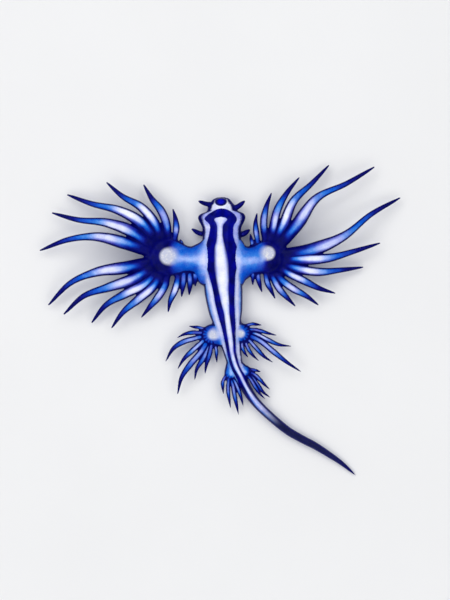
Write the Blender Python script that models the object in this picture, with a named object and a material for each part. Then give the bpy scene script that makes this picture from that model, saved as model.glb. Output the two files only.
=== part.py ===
"""A blue dragon sea slug (Glaucus atlanticus) at life size, lying on its back as it floats: the foot is up,
the head points to +Y, and the arms with their fans of cerata are spread out on both sides.

Every size below is in millimetres. The solids are drawn in millimetres and scaled to metres at the end.
Left and right are those of the drawing: left is -X. Angles are in degrees, anticlockwise from +X.
"""

import math

import bmesh
import bpy
import numpy as np
from mathutils import Matrix

METRES = 0.001
GAP = 0.3  # between two pieces that touch in life

# The body's midline, seen from above, from the snout to the tip of the tail.
SPINE = (
    (0.1, 14.6),
    (0.2, 12.5),
    (0.2, 9.6),
    (0.2, 7.0),
    (0.4, 3.7),
    (0.8, 0.1),
    (1.3, -2.8),
    (1.9, -5.4),
    (3.0, -7.8),
    (4.6, -10.0),
    (7.5, -12.6),
    (9.4, -13.8),
    (11.3, -14.8),
    (13.2, -16.0),
    (14.6, -17.0),
    (16.2, -18.4),
)

# Distance from the snout, half width, height of the foot side, height of the lower side.
# A lower side below 0 is pressed flat on the floor.
BODY = (
    (0.00, 0.45, 1.25, 0.75),
    (0.12, 0.80, 1.45, 0.55),
    (0.27, 1.03, 1.55, 0.46),
    (0.60, 1.25, 1.72, 0.34),
    (1.00, 1.55, 1.88, 0.26),
    (1.35, 1.66, 1.97, 0.21),
    (1.60, 1.70, 2.00, 0.20),
    (1.74, 2.05, 2.01, 0.24),
    (1.90, 2.48, 2.02, 0.26),
    (2.12, 2.72, 2.03, 0.28),
    (2.40, 2.81, 2.05, 0.28),
    (2.80, 2.70, 2.12, 0.22),
    (3.20, 2.49, 2.22, 0.15),
    (3.65, 2.30, 2.32, 0.06),
    (4.20, 2.25, 2.45, 0.00),
    (5.10, 2.28, 2.65, -0.15),
    (7.60, 2.20, 3.00, -0.30),
    (10.60, 2.26, 3.10, -0.30),
    (13.30, 2.02, 2.90, -0.30),
    (14.80, 1.68, 2.60, -0.25),
    (16.20, 1.42, 2.35, -0.20),
    (17.90, 1.12, 2.05, -0.20),
    (19.80, 0.90, 1.85, -0.18),
    (22.30, 0.68, 1.60, -0.15),
    (24.50, 0.57, 1.40, -0.12),
    (29.00, 0.50, 1.15, -0.10),
    (33.00, 0.45, 1.00, -0.10),
    (35.40, 0.37, 0.85, -0.08),
    (37.40, 0.27, 0.62, -0.05),
    (38.60, 0.18, 0.45, 0.00),
    (39.10, 0.12, 0.36, 0.06),
)
BODY_SIDES = 20
TAIL_TIP_HEIGHT = 0.2

# Where the body is parted, by the distance from the snout, and how many rings each length has.
BODY_LENGTHS = (
    ("head", 0.0, 4.4, 15),
    ("neck", 4.4, 6.0, 4),
    ("trunk_front", 6.0, 10.9, 8),
    ("trunk_middle", 10.9, 15.0, 7),
    ("trunk_rear", 15.0, 18.8, 7),
    ("tail_base", 18.8, 24.6, 9),
    ("tail_middle", 24.6, 32.0, 9),
    ("tail_tip", 32.0, 40.0, 11),
)

# The foot is a raised sole along the middle of the upper side.
SOLE_SHARE = 0.44  # of the body's width
SOLE_RISE = 0.16

# The mouth is a bulb of lips on the front of the snout, with a slit across it.
MOUTH_FROM_SNOUT = 0.62
MOUTH_HEIGHT = 1.58
LIPS = (0.76, 0.50, 0.42)  # half sizes across, along and up
SLIT = (0.48, 0.13, 0.30)

# Feelers: name, root inside the head, tip, sideways bow, girth at the root.
FEELERS = (
    ("oral_tentacle_left", (-0.7, 13.72, 1.05), (-2.5, 14.12, 1.35), 0.06, 0.66),
    ("oral_tentacle_right", (1.2, 13.15, 1.05), (2.88, 14.12, 1.35), -0.08, 0.74),
    ("rhinophore_left", (-1.4, 10.25, 0.95), (-3.3, 10.85, 0.75), 0.10, 0.70),
    ("rhinophore_right", (1.9, 10.15, 0.95), (3.48, 10.75, 0.75), -0.10, 0.80),
)
FEELER_TAPER = ((0, 1.0), (0.5, 0.86), (0.75, 0.74), (0.92, 0.5), (1, 0.32))
FEELER_SIDES = 8

# A ceras is a soft finger. A short one is widest at its middle, a long one nearer its root with a whip of a tip.
GIRTH_LEAST = 0.40
GIRTH_PER_REACH = 0.076
THINNEST = 0.5
SHORT, LONG = 7.0, 16.0  # reaches that have the two tapers below
SHORT_TAPER = ((0.0, 0.85), (0.25, 0.96), (0.5, 1.0), (0.7, 0.78), (0.85, 0.5), (0.95, 0.3), (1.0, 0.16))
LONG_TAPER = ((0.0, 0.90), (0.3, 1.00), (0.45, 0.76), (0.6, 0.52), (0.8, 0.38), (0.93, 0.26), (1.0, 0.12))
CERAS_THICKNESS = 0.85  # of its girth
CERAS_SIDES = 6
CERAS_RINGS = 9
ROOT_DEPTH = 0.85  # how far a ceras starts inside the rim
RISE_PER_REACH = 0.11  # how high a ceras arches above the line from root to tip
TIP_HEIGHTS = (0.75, 1.25, 0.55, 1.05, 0.85)  # taken in turn along a fan
RIM_HEIGHT = 0.95
RIM_NARROWING = 0.4  # how much nearer the arm's axis the rim runs once it has left the palm

# Each fan's cerata stand in groups along the rim of its palm. A group says where along the rim its first
# and last ceras stand, measured from the palm's outermost point and positive towards the head. Then each
# ceras has the bearing and the reach of its tip from the palm's centre, and how far it bows to the left of
# the straight line from its root to its tip, in hundredths of that line, at each quarter of the way.
FRONT_LEFT = {
    "centre": (-6.25, 7.55),
    "radius": 2.3,
    "tops": (2.5, 2.1),
    "bearing": 180,
    "wedge": 178,
    "path": ((0.2, 6.9), (-1.9, 7.15), (-2.8, 7.25), (-3.8, 7.28), (-6.25, 7.55)),
    "widths": (
        (0.0, 6.0),
        (1.9, 5.9),
        (2.25, 5.6),
        (2.5, 5.0),
        (2.75, 4.25),
        (3.05, 3.7),
        (3.35, 3.3),
        (3.7, 3.1),
        (4.2, 3.2),
        (4.9, 3.7),
        (5.8, 4.3),
        (6.5, 4.4),
    ),
    "plumpness": 1.0,
    "arm": (
        (5.3, 4.4, ((56, 2.7, -5, -8, -4), (83, 5.7, -4, -8, -6))),
        (
            -4.9,
            -6.9,
            ((271, 6.5, 5, 5, 0), (290, 5.0, 2, 3, 2), (300, 5.2, 2, 3, 2), (314, 4.8, 2, 2, 1)),
        ),
    ),
    "fore": (
        (
            3.6,
            0.6,
            (
                (108, 9.0, -10, -11, -4),
                (129, 11.3, -10, -11, -3),
                (148, 13.9, -11, -11, -4),
                (159, 14.5, -8, -8, -2),
                (177, 15.0, -8, -13, -10),
            ),
        ),
    ),
    "aft": (
        (
            -0.7,
            -3.65,
            (
                (202, 15.1, -4, -10, -10),
                (209, 13.9, 2, -2, -6),
                (221, 11.8, 4, -1, -5),
                (232, 10.6, 5, 2, -2),
                (247, 7.7, 10, 10, 5),
            ),
        ),
    ),
}
FRONT_RIGHT = {
    "centre": (5.55, 7.55),
    "radius": 2.0,
    "tops": (2.5, 2.1),
    "bearing": 0,
    "wedge": 21,
    "path": ((0.2, 6.9), (2.5, 7.0), (3.5, 7.1), (5.55, 7.55)),
    "widths": (
        (0.0, 5.8),
        (2.3, 5.6),
        (2.65, 4.6),
        (3.1, 3.7),
        (3.5, 3.35),
        (4.0, 3.4),
        (5.0, 3.8),
        (5.5, 3.9),
    ),
    "plumpness": 0.94,
    "arm": (
        (4.85, 4.1, ((126, 3.4, -3, -4, -2), (103, 5.3, 2, 5, 5))),
        (-4.1, -4.85, ((262, 4.2, -5, -8, -5), (243, 3.7, 0, 0, 0))),
    ),
    "fore": (
        (
            3.15,
            1.4,
            ((86, 7.6, 7, 10, 7), (68, 10.1, 6, 10, 7), (56, 13.1, 4, 9, 4), (40, 16.5, 4, 10, 4)),
        ),
    ),
    "aft": (
        (
            0.3,
            -3.2,
            (
                (24, 17.2, -7, -8, -2),
                (7, 13.4, -5, -7, -4),
                (354, 11.4, -7, -9, -5),
                (332, 9.1, -4, -4, -4),
                (317, 8.3, -8, -7, -2),
                (300, 6.7, -7, -9, -5),
                (281, 5.0, -9, -10, -5),
            ),
        ),
    ),
}
MIDDLE_LEFT = {
    "centre": (-0.95, -1.6),
    "radius": 1.25,
    "tops": (2.1, 1.8),
    "bearing": 205,
    "path": ((1.3, -1.4), (0.0, -1.6), (-0.95, -1.65)),
    "widths": ((0.0, 2.9), (1.3, 2.8), (2.2, 2.3)),
    "plumpness": 0.78,
    "arm": (
        (
            1.6,
            -1.85,
            (
                (160, 2.9, -6, -7, -3),
                (185, 4.1, -5, -9, -8),
                (210, 6.3, -7, -14, -13),
                (225, 5.7, -2, -4, -5),
                (240, 8.1, 0, -5, -7),
                (249, 5.7, 3, 1, -4),
                (260, 4.7, 3, 2, -1),
                (280, 3.4, 3, 5, 2),
            ),
        ),
    ),
}
MIDDLE_RIGHT = {
    "centre": (2.5, -1.4),
    "radius": 1.15,
    "tops": (2.1, 1.8),
    "bearing": 335,
    "path": ((1.1, -1.3), (1.8, -1.35), (2.5, -1.4)),
    "widths": ((0.0, 2.6), (0.8, 2.5), (1.5, 2.2)),
    "plumpness": 0.7,
    "arm": (
        (
            1.85,
            -1.25,
            (
                (20, 2.6, 16, 18, 11),
                (356, 4.2, 8, 7, 3),
                (345, 6.1, 3, -1, -4),
                (327, 8.4, 4, 2, 0),
                (317, 5.1, -1, -3, -4),
                (302, 3.9, -4, -8, -6),
                (286, 3.0, -7, -11, -9),
            ),
        ),
    ),
}
REAR_LEFT = {
    "centre": (1.25, -6.15),
    "radius": 0.75,
    "tops": (1.55, 1.45),
    "bearing": 240,
    "path": ((1.9, -4.3), (1.4, -5.2), (1.2, -6.2)),
    "widths": ((0.0, 1.5), (1.0, 1.4), (2.0, 1.5)),
    "plumpness": 0.72,
    "arm": (
        (
            0.75,
            -0.75,
            ((251, 2.6, -14, -16, -9), (270, 4.1, -4, -5, -3), (281, 5.0, 1, 0, 0), (291, 4.2, 3, 4, 3)),
        ),
    ),
}
REAR_RIGHT = {
    "centre": (3.0, -5.9),
    "radius": 0.7,
    "tops": (1.55, 1.45),
    "bearing": 325,
    "path": ((2.1, -5.4), (2.6, -5.75), (3.0, -5.9)),
    "widths": ((0.0, 1.6), (0.6, 1.5), (1.0, 1.4)),
    "plumpness": 0.72,
    "arm": (
        (
            0.7,
            -0.65,
            ((357, 1.8, 10, 9, 4), (323, 3.6, 8, 6, 2), (313, 4.3, 2, -1, -4), (305, 4.0, 1, -1, -3)),
        ),
    ),
}

PEARL = 0.5  # radius of the pale boss on a palm, as a share of the palm's
PEARL_RISE = 0.22
PALM_BOTTOM = -0.25  # pressed flat on the floor
PALM_SIDES = 16
PALM_RINGS = 9
ARM_SIDES = 14
ARM_RINGS = 15
ARM_BOTTOM = 0.1
WRIST = 0.67  # where a front arm ends, inboard of its palm's centre
FAR = 40.0  # a length past the end of everything


class Line:
    """A smooth curve through points, read by the distance along it."""

    def __init__(self, points, steps=16):
        points = np.array(points, float)
        before, after = 2 * points[0] - points[1], 2 * points[-1] - points[-2]
        p = np.vstack([before, points, after])
        t = np.linspace(0, 1, steps, endpoint=False)[:, None]
        pieces = []
        for a, b, c, d in zip(p, p[1:], p[2:], p[3:]):
            bend = (2 * a - 5 * b + 4 * c - d) * t**2 + (3 * b - a - 3 * c + d) * t**3
            pieces.append(b + 0.5 * ((c - a) * t + bend))
        self.points = np.vstack([*pieces, points[-1:]])
        lengths = np.linalg.norm(np.diff(self.points, axis=0), axis=1)
        self.along = np.concatenate([[0], np.cumsum(lengths)])
        self.length = self.along[-1]

    def at(self, distance):
        return np.array([np.interp(distance, self.along, column) for column in self.points.T])

    def direction(self, distance):
        step = self.length / 200
        ahead = self.at(min(distance + step, self.length)) - self.at(max(distance - step, 0))
        return ahead / np.linalg.norm(ahead)


def eased(rows, position):
    """A monotone cubic through the rows, so that a width never swings past its stated sizes."""
    x, y = rows[:, 0], rows[:, 1:]
    position = float(np.clip(position, x[0], x[-1]))
    i = int(np.clip(np.searchsorted(x, position, side="right") - 1, 0, len(x) - 2))
    slopes = np.diff(y, axis=0) / np.diff(x)[:, None]

    def slope_at(k):
        if k in (0, len(x) - 1):
            return slopes[min(k, len(slopes) - 1)]
        a, b = slopes[k - 1], slopes[k]
        return np.where(a * b > 0, 2 * a * b / np.where(a + b == 0, 1, a + b), 0)

    h = x[i + 1] - x[i]
    t = (position - x[i]) / h
    start, end = y[i], y[i + 1]
    leave, arrive = slope_at(i) * h, slope_at(i + 1) * h
    return (
        (2 * t**3 - 3 * t**2 + 1) * start
        + (t**3 - 2 * t**2 + t) * leave
        + (3 * t**2 - 2 * t**3) * end
        + (t**3 - t**2) * arrive
    )


def heading(degrees):
    return np.array([math.cos(math.radians(degrees)), math.sin(math.radians(degrees))])


def new_object(name, mesh):
    bmesh.ops.recalc_face_normals(mesh, faces=mesh.faces)
    data = bpy.data.meshes.new(name)
    mesh.to_mesh(data)
    mesh.free()
    obj = bpy.data.objects.new(name, data)
    bpy.context.scene.collection.objects.link(obj)
    return obj


def loft(name, rings, tip=None):
    """A closed mesh through rings of points, with flat ends, or with a pointed end at tip."""
    mesh = bmesh.new()
    rows = [[mesh.verts.new(point) for point in ring] for ring in rings]
    for a, b in zip(rows, rows[1:]):
        for i in range(len(a)):
            j = (i + 1) % len(a)
            mesh.faces.new((a[i], a[j], b[j], b[i]))
    mesh.faces.new(rows[0])
    if tip is None:
        mesh.faces.new(rows[-1])
    else:
        point = mesh.verts.new(tip)
        for i in range(len(rows[-1])):
            mesh.faces.new((rows[-1][i], rows[-1][(i + 1) % len(rows[-1])], point))
    return new_object(name, mesh)


def oval(centre, side, half_width, half_height, sides):
    """A ring of points upright across a line: side is its level cross direction."""
    turns = (2 * math.pi * (k + 0.5) / sides for k in range(sides))
    return [
        (
            centre[0] + side[0] * half_width * math.cos(turn),
            centre[1] + side[1] * half_width * math.cos(turn),
            centre[2] + half_height * math.sin(turn),
        )
        for turn in turns
    ]


def ball(name, centre, half_sizes, sides=16, rings=8):
    """A closed ball of three half sizes."""
    mesh = bmesh.new()
    bmesh.ops.create_uvsphere(mesh, u_segments=sides, v_segments=rings, radius=1.0)
    shape = Matrix.Translation(centre) @ Matrix.Diagonal((*half_sizes, 1.0))
    bmesh.ops.transform(mesh, matrix=shape, verts=mesh.verts)
    return new_object(name, mesh)


def block(name, centre, half_sizes, bearing):
    """A block turned about the upright axis."""
    mesh = bmesh.new()
    bmesh.ops.create_cube(mesh, size=2.0)
    turn = Matrix.Rotation(math.radians(bearing), 4, "Z")
    shape = Matrix.Translation(centre) @ turn @ Matrix.Diagonal((*half_sizes, 1.0))
    bmesh.ops.transform(mesh, matrix=shape, verts=mesh.verts)
    return new_object(name, mesh)


def combine(obj, others, operation):
    """Joins the others to obj, or cuts them from it, and removes them."""
    if not others:
        return obj
    tools = bpy.data.collections.new("tools")
    bpy.context.scene.collection.children.link(tools)
    for other in others:
        tools.objects.link(other)
    change = obj.modifiers.new(operation.lower(), "BOOLEAN")
    change.operation = operation
    change.solver = "EXACT"
    change.operand_type = "COLLECTION"
    change.collection = tools
    bpy.context.view_layer.update()
    made = obj.evaluated_get(bpy.context.evaluated_depsgraph_get())
    data = bpy.data.meshes.new_from_object(made)
    obj.modifiers.clear()
    obj.data = data
    for other in others:
        bpy.data.objects.remove(other)
    bpy.data.collections.remove(tools)
    return obj


def keep_largest(obj):
    """Keeps the largest closed surface of an object."""
    mesh = bmesh.new()
    mesh.from_mesh(obj.data)
    left, surfaces = set(mesh.verts), []
    while left:
        found, front = set(), {left.pop()}
        while front:
            found |= front
            front = {e.other_vert(v) for v in front for e in v.link_edges} - found
        left -= found
        surfaces.append(found)
    largest = max(surfaces, key=lambda s: np.prod(np.ptp([v.co[:] for v in s], axis=0)))
    bmesh.ops.delete(mesh, geom=[v for v in mesh.verts if v not in largest], context="VERTS")
    bmesh.ops.triangulate(mesh, faces=mesh.faces)
    mesh.to_mesh(obj.data)
    mesh.free()
    return obj


SPINE_LINE = Line(SPINE)


def body_ring(distance, grow=0.0):
    """The body's outline across its midline, or one that stands out from it by grow on every side."""
    half_width, top, bottom = eased(np.array(BODY), distance)
    half_width, top, bottom = half_width + grow, top + grow, bottom - grow
    x, y = SPINE_LINE.at(distance)
    along = SPINE_LINE.direction(distance)
    side = (-along[1], along[0])
    middle, half_height = (top + bottom) / 2, (top - bottom) / 2
    ring = []
    for k in range(BODY_SIDES):
        turn = 2 * math.pi * k / BODY_SIDES
        across, up = math.cos(turn), math.sin(turn)
        z = middle + half_height * up
        if up > 0:
            inside = min(1.0, max(0.0, (SOLE_SHARE + 0.12 - abs(across)) / 0.24))
            z += SOLE_RISE * inside * min(1.0, half_width)
        ring.append((x + side[0] * half_width * across, y + side[1] * half_width * across, z))
    return ring if grow else on_floor(ring)


def on_floor(ring):
    return [(x, y, max(z, 0.0)) for x, y, z in ring]


def body_length(name, start, end, rings):
    """One length of the body, parted from its neighbours by the gap."""
    start += GAP / 2 if start > 0 else 0
    last, tip = end - GAP / 2, None
    if end > BODY[-1][0]:
        last, tip = BODY[-1][0], (*SPINE_LINE.at(SPINE_LINE.length), TAIL_TIP_HEIGHT)
    return loft(name, [body_ring(place) for place in np.linspace(start, last, rings)], tip)


def body_clearance():
    """The whole body with the gap round it, to cut what grows from it."""
    places = np.arange(0, BODY[-1][0], 0.55)
    return loft("clearance", [body_ring(place, GAP) for place in places])


def head_with_mouth(obj):
    """Adds the lips to the head and opens the mouth between them."""
    x, y = SPINE_LINE.at(MOUTH_FROM_SNOUT)
    lips = ball("lips", (x, y, MOUTH_HEIGHT), LIPS)
    combine(obj, [lips], "UNION")
    slit = ball("slit", (x, y + 0.12, MOUTH_HEIGHT + LIPS[2]), SLIT, 12, 6)
    return combine(obj, [slit], "DIFFERENCE")


def bowed_line(root, tip, bow):
    """A line from root to tip, bowed sideways by a share of its length."""
    root, tip = np.array(root, float), np.array(tip, float)
    across = np.array([-(tip - root)[1], (tip - root)[0], 0])
    return Line((root, (root + tip) / 2 + across * bow, tip))


def finger(name, line, girth, taper, sides, rings, thickness=1.0):
    """A tapered finger along a line in space, closed by a rounded point."""
    made = []
    for place in np.linspace(0, 1, rings):
        centre, along = line.at(place * line.length), line.direction(place * line.length)
        side = np.array([-along[1], along[0]]) / np.hypot(along[0], along[1])
        half = girth * eased(np.array(taper), place)[0] / 2
        made.append(oval(centre, side, half, half * thickness, sides))
    end = line.at(line.length) + line.direction(line.length) * girth * taper[-1][1] * 0.6
    return loft(name, made, tuple(end))


def rim_at(fan, place):
    """The point on a palm's rim and the way it faces. Past the half circle the rim runs back along the arm."""
    radius, outward = fan["radius"], heading(fan["bearing"])
    forward = heading(fan["bearing"] + (-90 if outward[0] < 0 else 90))
    quarter = radius * math.pi / 2
    turn = max(-quarter, min(quarter, place)) / radius
    facing = math.cos(turn) * outward + math.sin(turn) * forward
    inboard = max(0.0, abs(place) - quarter)
    radius -= RIM_NARROWING * min(1.0, inboard)
    return np.array(fan["centre"]) + radius * facing - inboard * outward, facing


def ceras(fan, place, size, number):
    """One ceras from the palm's rim to its tip, bowed level and arched up."""
    bearing, reach, *bows = size
    rim, facing = rim_at(fan, place)
    root = rim - facing * min(ROOT_DEPTH, 0.7 * fan["radius"])
    tip = np.array(fan["centre"]) + reach * heading(bearing)
    chord = tip - root
    left = np.array((-chord[1], chord[0]))
    rise = RISE_PER_REACH * reach
    tip_height = TIP_HEIGHTS[number % len(TIP_HEIGHTS)]
    points = []
    for share, bow in zip((0, 0.25, 0.5, 0.75, 1), (0, *bows, 0)):
        height = RIM_HEIGHT + (tip_height - RIM_HEIGHT) * share + rise * math.sin(math.pi * share) ** 1.5
        points.append((*(root + share * chord + bow / 100 * left), height))
    girth = max(THINNEST, (GIRTH_LEAST + GIRTH_PER_REACH * reach) * fan["plumpness"])
    whip = min(1.0, max(0.0, (reach - SHORT) / (LONG - SHORT)))
    taper = (1 - whip) * np.array(SHORT_TAPER) + whip * np.array(LONG_TAPER)
    return finger("ceras", Line(points), girth, taper, CERAS_SIDES, CERAS_RINGS, CERAS_THICKNESS)


def cerata(fan, groups):
    """All the cerata of some groups of a fan."""
    made = []
    for first, last, sizes in groups:
        for place, size in zip(np.linspace(first, last, len(sizes)), sizes):
            made.append(ceras(fan, place, size, len(made)))
    return made


def palm(fan):
    """The round pad that carries a fan, with a pale boss on top and a flat below."""
    x, y = fan["centre"]
    radius, top = fan["radius"], fan["tops"][1]
    rings = []
    for k in range(1, PALM_RINGS):
        lift = math.pi * k / PALM_RINGS - math.pi / 2
        reach, up = math.cos(lift), math.sin(lift)
        height = RIM_HEIGHT + up * (top - RIM_HEIGHT if up > 0 else RIM_HEIGHT - PALM_BOTTOM)
        if up > 0:
            height += PEARL_RISE * min(1.0, max(0.0, (PEARL + 0.15 - reach) / 0.3))
        level = max(height, 0.0)
        rings.append(
            [
                (x + radius * reach * math.cos(a), y + radius * reach * math.sin(a), level)
                for a in np.linspace(0, 2 * math.pi, PALM_SIDES, endpoint=False)
            ]
        )
    return loft("palm", rings)


def arm(fan):
    """The arm from inside the trunk to the palm's centre."""
    line = Line(fan["path"])
    at_trunk, at_palm = fan["tops"]
    rings = []
    for place in np.linspace(0, 1, ARM_RINGS):
        centre, along = line.at(place * line.length), line.direction(place * line.length)
        width = eased(np.array(fan["widths"]), place * line.length)[0]
        top = at_trunk + (at_palm - at_trunk) * place
        middle = (*centre, (top + ARM_BOTTOM) / 2)
        rings.append(oval(middle, (-along[1], along[0]), width / 2, (top - ARM_BOTTOM) / 2, ARM_SIDES))
    return loft("arm", rings)


def beside(fan, offset, bearing, reach):
    """A block that covers one side of a plane through the palm's centre: offset moves it off the plane."""
    normal = heading(bearing)
    x, y = np.array(fan["centre"]) + normal * (offset + FAR / 2)
    return block("side", (x, y, 0), (FAR / 2, reach, FAR), bearing)


def front_arm(name, fan):
    """A front arm in three nodes: the arm, and the fore and aft halves of the palm with their cerata."""
    inward = fan["bearing"] + 180
    forward = fan["wedge"] + (-90 if fan["bearing"] == 180 else 90)
    reach = fan["radius"] + GAP
    root = combine(arm(fan), cerata(fan, fan["arm"]), "UNION")
    cutters = [body_clearance(), beside(fan, -WRIST - GAP / 2, fan["bearing"], reach)]
    root = combine(root, cutters, "DIFFERENCE")
    nodes = [(name, root)]
    for half, way in (("fore", forward), ("aft", forward + 180)):
        piece = combine(palm(fan), cerata(fan, fan[half]), "UNION")
        cutters = [beside(fan, WRIST - GAP / 2, inward, reach), beside(fan, -GAP / 2, way + 180, reach)]
        nodes.append((f"{name}_{half}", combine(piece, cutters, "DIFFERENCE")))
    return nodes


def small_arm(name, fan):
    """A middle or rear arm with its palm and cerata in one node."""
    piece = combine(arm(fan), [palm(fan), *cerata(fan, fan["arm"])], "UNION")
    return [(name, combine(piece, [body_clearance()], "DIFFERENCE"))]


def skin(name, colour, roughness):
    """A plain material of the part's own colour."""
    material = bpy.data.materials.new(name)
    material.use_nodes = True
    shader = material.node_tree.nodes["Principled BSDF"]
    shader.inputs["Base Color"].default_value = (*colour, 1.0)
    shader.inputs["Roughness"].default_value = roughness
    shader.inputs["Metallic"].default_value = 0.0
    return material


def finished(name, obj, material):
    """Names a node, keeps its one closed surface and scales it to metres."""
    keep_largest(obj)
    obj.name = name
    obj.data.name = name
    obj.data.transform(Matrix.Scale(METRES, 4))
    obj.data.materials.clear()
    obj.data.materials.append(material)
    obj.data.shade_smooth()
    obj.data.set_sharp_from_angle(angle=math.radians(50))


def main():
    for obj in list(bpy.data.objects):
        bpy.data.objects.remove(obj)
    pale = skin("pale_blue_skin", (0.55, 0.62, 0.86), 0.35)
    blue = skin("blue_skin", (0.07, 0.20, 0.66), 0.35)
    dark = skin("dark_blue_skin", (0.02, 0.03, 0.30), 0.35)

    for name, start, end, rings in BODY_LENGTHS:
        length = body_length(name, start, end, rings)
        if name == "head":
            length = head_with_mouth(length)
        finished(name, length, pale)

    for name, root, tip, bow, girth in FEELERS:
        feeler = finger(name, bowed_line(root, tip, bow), girth, FEELER_TAPER, FEELER_SIDES, 6)
        finished(name, combine(feeler, [body_clearance()], "DIFFERENCE"), dark)

    for side, front, middle, rear in (
        ("left", FRONT_LEFT, MIDDLE_LEFT, REAR_LEFT),
        ("right", FRONT_RIGHT, MIDDLE_RIGHT, REAR_RIGHT),
    ):
        nodes = front_arm(f"arm_front_{side}", front)
        nodes += small_arm(f"arm_middle_{side}", middle)
        nodes += small_arm(f"arm_rear_{side}", rear)
        for name, obj in nodes:
            finished(name, obj, blue)


main()
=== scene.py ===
"""The looks of a blue dragon sea slug (Glaucus atlanticus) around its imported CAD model.

One skin replaces every node of flesh. It is built from the same named sizes as the solids, finer and with no
gaps: all its forms are joined into one surface, the clefts between them are rounded, and the places of the
markings are written on its points as fields that the skin's material reads.

Sizes are in millimetres until a mesh is finished. Left and right are those of the frame: left is -X, the head
points to +Y, and the foot is up. Angles are in degrees, anticlockwise from +X.
"""

import math

import bpy
import numpy as np
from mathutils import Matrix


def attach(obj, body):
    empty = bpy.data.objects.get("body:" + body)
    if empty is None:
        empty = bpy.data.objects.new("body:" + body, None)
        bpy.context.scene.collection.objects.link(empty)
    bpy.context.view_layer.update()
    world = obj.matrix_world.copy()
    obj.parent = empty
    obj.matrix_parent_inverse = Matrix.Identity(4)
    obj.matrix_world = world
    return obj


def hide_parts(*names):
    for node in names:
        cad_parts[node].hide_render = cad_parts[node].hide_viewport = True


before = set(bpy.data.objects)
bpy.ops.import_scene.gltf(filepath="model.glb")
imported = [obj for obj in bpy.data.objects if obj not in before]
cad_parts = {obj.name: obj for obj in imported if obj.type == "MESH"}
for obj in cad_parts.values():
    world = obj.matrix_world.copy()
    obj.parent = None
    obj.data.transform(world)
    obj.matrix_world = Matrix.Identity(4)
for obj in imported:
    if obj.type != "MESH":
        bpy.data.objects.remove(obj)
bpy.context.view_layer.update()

METRES = 0.001

# The body's midline, seen from above, from the snout to the tip of the tail.
SPINE = (
    (0.1, 14.6), (0.2, 12.5), (0.2, 9.6), (0.2, 7.0), (0.4, 3.7), (0.8, 0.1), (1.3, -2.8), (1.9, -5.4),
    (3.0, -7.8), (4.6, -10.0), (7.5, -12.6), (9.4, -13.8), (11.3, -14.8), (13.2, -16.0), (14.6, -17.0),
    (16.2, -18.4),
)

# Distance from the snout, half width, height of the foot side, height of the lower side.
BODY = (
    (0.0, 0.45, 1.25, 0.75), (0.12, 0.8, 1.45, 0.55), (0.27, 1.03, 1.55, 0.46), (0.6, 1.25, 1.72, 0.34),
    (1.0, 1.55, 1.88, 0.26), (1.35, 1.66, 1.97, 0.21), (1.6, 1.7, 2.0, 0.2), (1.74, 2.05, 2.01, 0.24),
    (1.9, 2.48, 2.02, 0.26), (2.12, 2.72, 2.03, 0.28), (2.4, 2.81, 2.05, 0.28), (2.8, 2.7, 2.12, 0.22),
    (3.2, 2.49, 2.22, 0.15), (3.65, 2.3, 2.32, 0.06), (4.2, 2.25, 2.45, 0.0), (5.1, 2.28, 2.65, -0.15),
    (7.6, 2.2, 3.0, -0.3), (10.6, 2.26, 3.1, -0.3), (13.3, 2.02, 2.9, -0.3), (14.8, 1.68, 2.6, -0.25),
    (16.2, 1.42, 2.35, -0.2), (17.9, 1.12, 2.05, -0.2), (19.8, 0.9, 1.85, -0.18), (22.3, 0.68, 1.6, -0.15),
    (24.5, 0.57, 1.4, -0.12), (29.0, 0.5, 1.15, -0.1), (33.0, 0.45, 1.0, -0.1), (35.4, 0.37, 0.85, -0.08),
    (37.4, 0.27, 0.62, -0.05), (38.6, 0.18, 0.45, 0.0), (39.1, 0.12, 0.36, 0.06),
)
TAIL_TIP_HEIGHT = 0.2
# The foot's sole is a low swelling over the middle share of the width. Its sides fall over the fade.
SOLE_SHARE = 0.44
SOLE_FADE = 0.12
SOLE_RISE = 0.16

MOUTH_FROM_SNOUT = 0.62
MOUTH_HEIGHT = 1.58
LIPS = (0.76, 0.50, 0.42)  # half sizes across, along and up
# The groove between the lips: half sizes across and along, and depth, how far ahead of the lips' middle it
# lies, and the height above which it is cut.
MOUTH_GROOVE = (0.50, 0.15, 0.30)
GROOVE_AHEAD = 0.12
GROOVE_ABOVE = 1.2
# The dark paint of the mouth lies this far from the lips' middle and scales their half sizes.
MOUTH_PAINT_SHIFT = (-0.03, 0.09)
MOUTH_PAINT_SCALE = (0.95, 1.10)

# Feelers: root inside the head, tip, sideways bow, girth at the root.
FEELERS = (
    ((-0.7, 13.72, 1.05), (-2.5, 14.12, 1.35), 0.06, 0.66),
    ((1.2, 13.15, 1.05), (2.88, 14.12, 1.35), -0.08, 0.74),
    ((-1.4, 10.25, 0.95), (-3.3, 10.85, 0.75), 0.10, 0.70),
    ((1.9, 10.15, 0.95), (3.48, 10.75, 0.75), -0.10, 0.80),
)
FEELER_TAPER = ((0, 1.0), (0.5, 0.86), (0.75, 0.74), (0.92, 0.5), (1, 0.32))

# Cerata: girth by reach, and two tapers between which a reach chooses. A taper gives the share of the girth
# by the share of the length. The tips' heights are taken in turn.
GIRTH_LEAST = 0.40
GIRTH_PER_REACH = 0.076
THINNEST = 0.5
SHORT, LONG = 7.0, 16.0
SHORT_TAPER = ((0.0, 0.85), (0.25, 0.96), (0.5, 1.0), (0.7, 0.78), (0.85, 0.5), (0.95, 0.3), (1.0, 0.16))
LONG_TAPER = ((0.0, 0.90), (0.3, 1.00), (0.45, 0.76), (0.6, 0.52), (0.8, 0.38), (0.93, 0.26), (1.0, 0.12))
CERAS_THICKNESS = 0.85
ROOT_DEPTH = 0.85
ROOT_DEPTH_SHARE = 0.7
RISE_PER_REACH = 0.11
TIP_HEIGHTS = (0.75, 1.25, 0.55, 1.05, 0.85)
RIM_HEIGHT = 0.95
RIM_NARROWING = 0.4

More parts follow.
